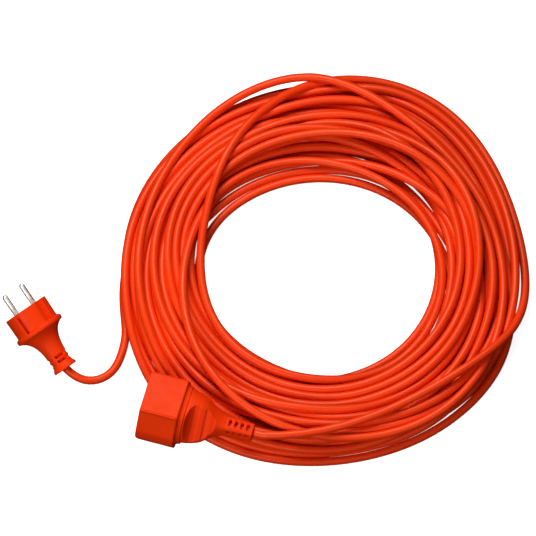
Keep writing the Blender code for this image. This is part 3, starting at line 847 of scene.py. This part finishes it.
def coupler_shell(axis):
    """The moulded coupler: block with a round recess, scooped taper and slotted tail."""
    front = [
        (0.0, 1.0, 0.985, 0.0274, 0.0234, 2.6),
        (0.0005, 1.0, 1.0, 0.0274, 0.0234, 2.6),
        (0.0310, 1.0, 1.0, 0.0274, 0.0234, 2.6),
        (0.0319, 1.0, 0.972, 0.0274, 0.0234, 2.6),
    ]
    taper = [
        (BLOCK_LENGTH, 0.60, 0.88, 0.0242, 0.0215, 2.8),
        (0.0345, 0.50, 0.85, 0.0230, 0.0207, 2.7),
        (0.0357, 0.46, 0.85, 0.0228, 0.0206, 2.7),
        (0.0362, 0.42, 0.81, 0.0216, 0.0197, 2.6),
        (0.0377, 0.35, 0.80, 0.0213, 0.0198, 2.6),
        (0.0415, 0.20, 0.78, 0.0207, 0.0193, 2.5),
        (0.0450, 0.10, 0.76, 0.0201, 0.0188, 2.4),
        (0.0485, 0.00, 0.70, 0.0189, 0.0180, 2.4),
        (0.0520, 0.00, 0.60, 0.0172, 0.0166, 2.4),
        (0.0550, 0.00, 0.60, 0.0149, 0.0147, 2.4),
        (0.0580, 0.00, 0.50, 0.0124, 0.0125, 2.4),
        (0.0615, 0.00, 0.40, 0.0102, 0.0104, 2.6),
        (0.0655, 0.00, 0.40, 0.0084, 0.0084, 3.0),
        (NECK_END, 0.00, 0.30, 0.0073, 0.0073, 4.0),
        (TAIL_AT - 0.0006, 0.00, 0.30, 0.0063, 0.0063, 4.5),
        (TAIL_AT, 0.00, 0.30, 0.0058, 0.0058, 4.5),
    ]
    sections = front + [tuple(row) for row in through(taper[:-2], 6)] + taper[-2:]
    body = grid_mesh("coupler_shell", [coupler_ring(*row) for row in sections], False)
    bore = [(0.0, 0.095), (0.0039, 0.095), (0.0039, 0.068), (0.0058, 0.062), (0.0080, 0.042)]
    bore += [(0.0125, 0.0372), (CARRIER_RADIUS + GAP, 0.0306), (CARRIER_RADIUS + GAP, RECESS_DEPTH)]
    bore += [(RECESS_RADIUS, RECESS_DEPTH), (RECESS_RADIUS, -0.003), (0.0, -0.003)]
    cut = [turned("bore", bore, 144)]
    added = []
    for side in (0, 1):
        half_turn = Matrix.Rotation(math.pi * side, 4, "Z")
        slope = Matrix.Rotation(math.radians(140), 4, "Z") @ Matrix.Rotation(math.pi / 2, 4, "X")
        cut.append(block(f"scoop_{side}", SCOOP, -0.04, 0.04, half_turn @ slope))
        bead = [(0.0, 0.0305), (0.0009, 0.0303), (0.0009, 0.0010), (0.0, 0.0008)]
        ridge = Matrix.Translation((-0.0189, 0.0232, 0.0))
        added.append(turned(f"bead_{side}", bead, 16, place=half_turn @ ridge))
        for row in range(4):
            low = NECK_END + TAIL_SLOTS_MARGIN + TAIL_SLOT_PITCH * row
            wide = rectangle(-0.0031, 0.0031, 0.0030, 0.012)
            cut.append(block(f"top_{side}_{row}", wide, low, low + TAIL_SLOT_WIDTH, half_turn))
            narrow = rectangle(-0.012, -0.0030, -0.0001, 0.0041)
            cut.append(block(f"side_{side}_{row}", narrow, low, low + TAIL_SLOT_WIDTH, half_turn))
    return moulded("coupler_shell", body, cut, added, COUPLER_VOXEL, axis)


def pin_mesh(name, sign, axis):
    """A turned pin with a rounded tip."""
    tip = FACE_AT + PIN_REACH
    profile = [(0.0, tip)]
    for step in range(1, 9):
        angle = math.pi / 2 * step / 8
        profile.append((PIN_RADIUS * math.sin(angle), tip - PIN_RADIUS * (1 - math.cos(angle))))
    profile += [(PIN_RADIUS, PIN_ROOT), (0.0, PIN_ROOT)]
    return turned(name, profile, 48, place=axis @ Matrix.Translation((sign * PIN_SPACING / 2, 0, 0)))


# ------------------------------------------------------------------ scene


def set_world():
    world = bpy.data.worlds.new("studio")
    world.use_nodes = True
    background = world.node_tree.nodes["Background"]
    background.inputs["Color"].default_value = (1.0, 1.0, 1.0, 1.0)
    background.inputs["Strength"].default_value = WORLD_STRENGTH
    bpy.context.scene.world = world


def lay_floor():
    """A pale floor that glows a little, and neither tints nor reflects in the object."""
    mesh = bpy.data.meshes.new("floor")
    corners = [(-1, -1), (1, -1), (1, 1), (-1, 1)]
    corners = [(x * FLOOR_HALF_WIDTH, y * FLOOR_HALF_WIDTH, 0) for x, y in corners]
    mesh.from_pydata(corners, [], [(0, 1, 2, 3)])
    mesh.materials.append(floor_material())
    floor = bpy.data.objects.new("floor", mesh)
    bpy.context.scene.collection.objects.link(floor)
    floor.visible_diffuse = False
    floor.visible_glossy = False


aim_camera()
bpy.context.scene.view_settings.view_transform = "Standard"
set_world()
area_light("key", (-0.35, 0.75, 1.3), (0.1, 0.12, 0.0), (0.8, 0.7), 21)
area_light("fill", (0.7, -0.5, 1.1), (0.1, 0.12, 0.0), (0.9, 0.9), 3)
area_light("front", (-0.33, -1.0, 0.88), (0.1, 0.05, 0.0), (1.0, 0.4), 10)
lay_floor()

looks = {
    "orange_pvc": moulded_material(),
    "cream_insert": hard_plastic("insert", (0.72, 0.66, 0.54), (0.78, 0.72, 0.60), 0.42, 1200),
    "brown_core": hard_plastic("brown_insulation", (0.13, 0.045, 0.018), (0.17, 0.06, 0.025), 0.4, 800),
    "blue_core": hard_plastic("blue_insulation", (0.02, 0.08, 0.36), (0.03, 0.11, 0.45), 0.4, 800),
    "bare_copper": metal("copper", (0.62, 0.26, 0.12), (0.80, 0.38, 0.20), 0.30, (3000, 300, 3000)),
    "nickel_pin": metal("nickel", (0.86, 0.84, 0.80), (0.95, 0.94, 0.91), 0.50, (400, 400, 2500)),
    "brass_contact": metal("brass", (0.60, 0.42, 0.16), (0.76, 0.56, 0.26), 0.30, (900, 900, 900)),
    "spring_steel": metal("drawn_steel", (0.45, 0.45, 0.46), (0.60, 0.60, 0.61), 0.26, (2500, 600, 600)),
}
for node in nodes.values():
    for slot in node.material_slots:
        slot.material = looks[slot.material.name]

plug_axis = plug_matrix()
socket_axis = socket_matrix()
orange = looks["orange_pvc"]
link(plug_shell(plug_axis), orange, "lead", "orange_pvc", "plug_body")
link(coupler_shell(socket_axis), orange, "lead", "orange_pvc", "socket_housing")
for sign, side in ((-1, "left"), (1, "right")):
    name = f"pin_{side}"
    link(pin_mesh(name, sign, plug_axis), looks["nickel_pin"], "lead", "nickel_pin", f"plug_{name}")
line = flex_path(plug_axis, socket_axis)
path = evenly(through(line, 4), round(lengths(line)[-1] / RING_SPACING))
cord_nodes = ("cord_coil", "cord_lead_plug", "cord_lead_socket")
flex = link(swept("flex", path), flex_material(), "lead", "orange_pvc", *cord_nodes)
